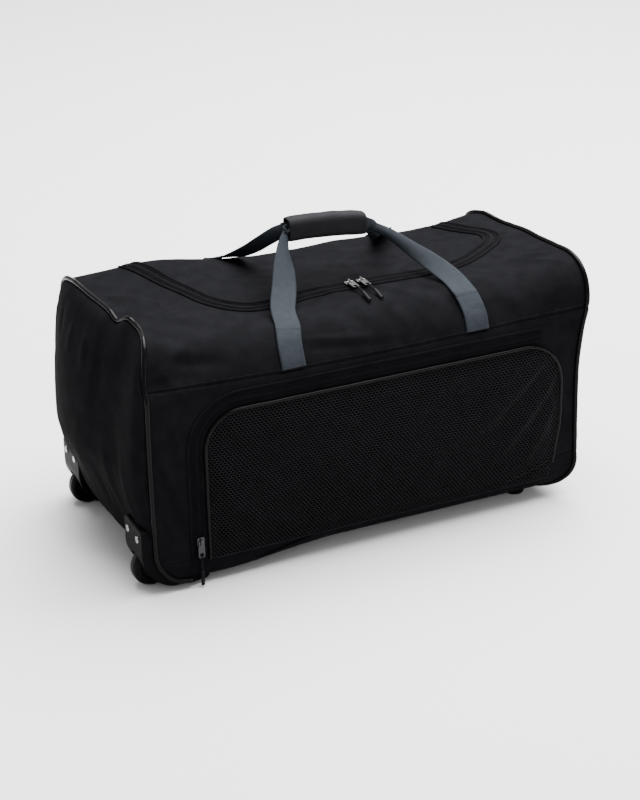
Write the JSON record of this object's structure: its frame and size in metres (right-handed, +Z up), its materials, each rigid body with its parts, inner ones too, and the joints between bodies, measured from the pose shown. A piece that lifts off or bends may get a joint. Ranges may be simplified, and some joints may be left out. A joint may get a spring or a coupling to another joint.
{
  "type": "rolling duffel bag",
  "caption": "Soft wheeled duffel bag with a zipped lift-up top, a front mesh pocket, two webbing carrying handles joined by a padded grip, and corner wheels.",
  "frame": {"origin": "on the floor under the middle of the bag", "axes": "+X from the wheel end to the far end, +Y from the pocket side to the back, +Z up"},
  "size_m": [0.84, 0.4088, 0.5035],
  "materials": {
    "shell_fabric": "woven polyester, matt",
    "pocket_mesh": "open net over dark lining",
    "piping": "glossy vinyl",
    "zip_tape": "woven tape",
    "zip_coil": "nylon coil",
    "webbing": "ribbed slate grey webbing",
    "grip_cloth": "woven polyester, stitched",
    "foam": "closed-cell foam",
    "bright_metal": "nickel plate",
    "dark_metal": "gunmetal plate",
    "pull_cord": "braided cord",
    "pull_rubber": "soft moulded",
    "housing_plastic": "satin moulded",
    "tyre": "satin polyurethane",
    "core_plastic": "moulded",
    "steel": "plain",
    "rivet_metal": "polished",
    "board": "stiff sheet"
  },
  "bodies": {
    "bag": {"back_panel": "shell_fabric", "bag_zip_coil": "zip_coil", "bag_zip_tape": "zip_tape", "base_board": "board", "base_panel": "shell_fabric", "far_end_panel": "shell_fabric", "far_end_piping": "piping", "foot_back": "housing_plastic", "foot_front": "housing_plastic", "foot_screws": "steel", "front_panel": "shell_fabric", "housing_backing_plate_back": "housing_plastic", "housing_backing_plate_front": "housing_plastic", "pocket_mesh_panel": "pocket_mesh", "pocket_piping": "piping", "pocket_zip_coil": "zip_coil", "pocket_zip_tape_inner": "zip_tape", "pocket_zip_tape_outer": "zip_tape", "pull_handle": "webbing", "rivets": "rivet_metal", "strap_root_left_back": "webbing", "strap_root_left_front": "webbing", "strap_root_right_back": "webbing", "strap_root_right_front": "webbing", "top_back_panel": "shell_fabric", "top_far_side_panel": "shell_fabric", "top_front_panel": "shell_fabric", "top_wheel_side_panel": "shell_fabric", "wheel_axle_back": "steel", "wheel_axle_front": "steel", "wheel_end_panel": "shell_fabric", "wheel_end_piping": "piping", "wheel_housing_back": "housing_plastic", "wheel_housing_front": "housing_plastic"},
    "flap": {"top_flap": "shell_fabric", "flap_zip_tape": "zip_tape", "flap_zip_coil": "zip_coil"},
    "front_handle": {"handle_loop_front": "webbing", "grip_wrap": "grip_cloth", "grip_padding": "foam"},
    "back_handle": {"handle_loop_back": "webbing"},
    "left_slider": {"main_slider_left": "bright_metal"},
    "left_pull": {"main_puller_left": "bright_metal", "main_pull_cord_left": "pull_cord", "main_pull_end_left": "pull_rubber"},
    "right_slider": {"main_slider_right": "bright_metal"},
    "right_pull": {"main_puller_right": "bright_metal", "main_pull_cord_right": "pull_cord", "main_pull_end_right": "pull_rubber"},
    "side_slider": {"pocket_slider": "dark_metal"},
    "side_pull": {"pocket_puller": "dark_metal", "pocket_pull_cord": "pull_cord", "pocket_pull_end": "pull_rubber"},
    "front_wheel": {"wheel_tyre_front": "tyre", "wheel_core_front": "core_plastic", "wheel_bearings_front": "steel"},
    "back_wheel": {"wheel_tyre_back": "tyre", "wheel_core_back": "core_plastic", "wheel_bearings_back": "steel"}
  },
  "joints": [
    {"name": "flap_open", "type": "hinge", "parent": "bag", "child": "flap", "pos_m": [0, 0.151, 0.395], "axis": [-1, 0, 0], "range_deg": [0, 100]},
    {"name": "front_handle_tilt", "type": "hinge", "parent": "bag", "child": "front_handle", "pos_m": [0, -0.1743, 0.3803], "axis": [1, 0, 0], "range_deg": [0, 130]},
    {"name": "back_handle_tilt", "type": "hinge", "parent": "bag", "child": "back_handle", "pos_m": [0, 0.1743, 0.3803], "axis": [-1, 0, 0], "range_deg": [0, 100]},
    {"name": "left_slider_run", "type": "slide", "parent": "flap", "child": "left_slider", "axis": [-1, 0, 0], "range_m": [0, 0.09]},
    {"name": "right_slider_run", "type": "slide", "parent": "flap", "child": "right_slider", "axis": [1, 0, 0], "range_m": [0, 0.09]},
    {"name": "left_pull_lift", "type": "hinge", "parent": "left_slider", "child": "left_pull", "pos_m": [0.018, -0.064, 0.409], "axis": [-1, 0, 0], "range_deg": [0, 110]},
    {"name": "right_pull_lift", "type": "hinge", "parent": "right_slider", "child": "right_pull", "pos_m": [0.039, -0.064, 0.409], "axis": [-1, 0, 0], "range_deg": [0, 110]},
    {"name": "pocket_slider_run", "type": "slide", "parent": "bag", "child": "side_slider", "axis": [0, 0, 1], "range_m": [0, 0.14]},
    {"name": "pocket_pull_lift", "type": "hinge", "parent": "side_slider", "child": "side_pull", "pos_m": [-0.3085, -0.203, 0.08], "axis": [-1, 0, 0], "range_deg": [0, 150]},
    {"name": "front_wheel_spin", "type": "hinge", "parent": "bag", "child": "front_wheel", "pos_m": [-0.377, -0.153, 0.032], "axis": [0, 1, 0], "continuous": true},
    {"name": "back_wheel_spin", "type": "hinge", "parent": "bag", "child": "back_wheel", "pos_m": [-0.377, 0.153, 0.032], "axis": [0, 1, 0], "continuous": true}
  ],
  "couplings": [
    {"joint": "front_handle_tilt", "follows": "flap_open", "ratio": 1.3},
    {"joint": "back_handle_tilt", "follows": "flap_open", "ratio": 1}
  ]
}
